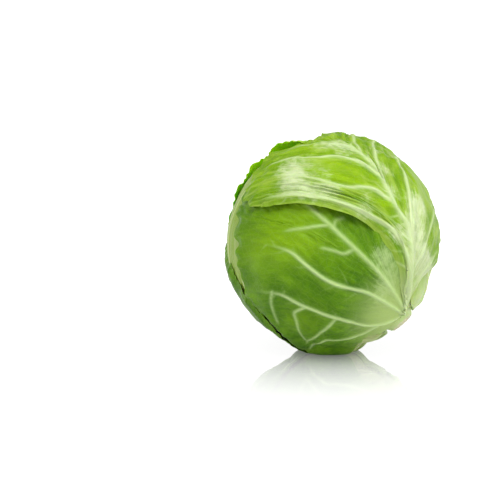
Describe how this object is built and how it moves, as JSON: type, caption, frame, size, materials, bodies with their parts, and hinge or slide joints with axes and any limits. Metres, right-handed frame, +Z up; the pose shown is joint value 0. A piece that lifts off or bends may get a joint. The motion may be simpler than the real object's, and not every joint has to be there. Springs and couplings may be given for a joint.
{
  "type": "cabbage head",
  "caption": "Whole head of white cabbage with ribbed, wavy-edged wrapper leaves round a dense inner head, lying tipped over on its side with the cut stem low at the front.",
  "frame": {"origin": "middle of the flat spot that the head rests on", "axes": "+Z up from the surface it rests on, -Y towards the viewer; the stem points down, forwards and to the right (+X)"},
  "size_m": [0.1658, 0.168, 0.1676],
  "materials": {
    "inner_leaf": "satin",
    "pale_leaf": "satin",
    "green_leaf": "satin",
    "deep_leaf": "satin",
    "bright_leaf": "satin",
    "stem": "matte"
  },
  "bodies": {
    "root": {"inner_head": "inner_leaf", "wrapper_leaf_1_low": "pale_leaf", "wrapper_leaf_2_crown": "green_leaf", "wrapper_leaf_3_front": "deep_leaf", "wrapper_leaf_4_right": "green_leaf", "wrapper_leaf_5_top": "bright_leaf", "wrapper_leaf_6_side": "deep_leaf", "stem_stump": "stem"}
  },
  "joints": []
}
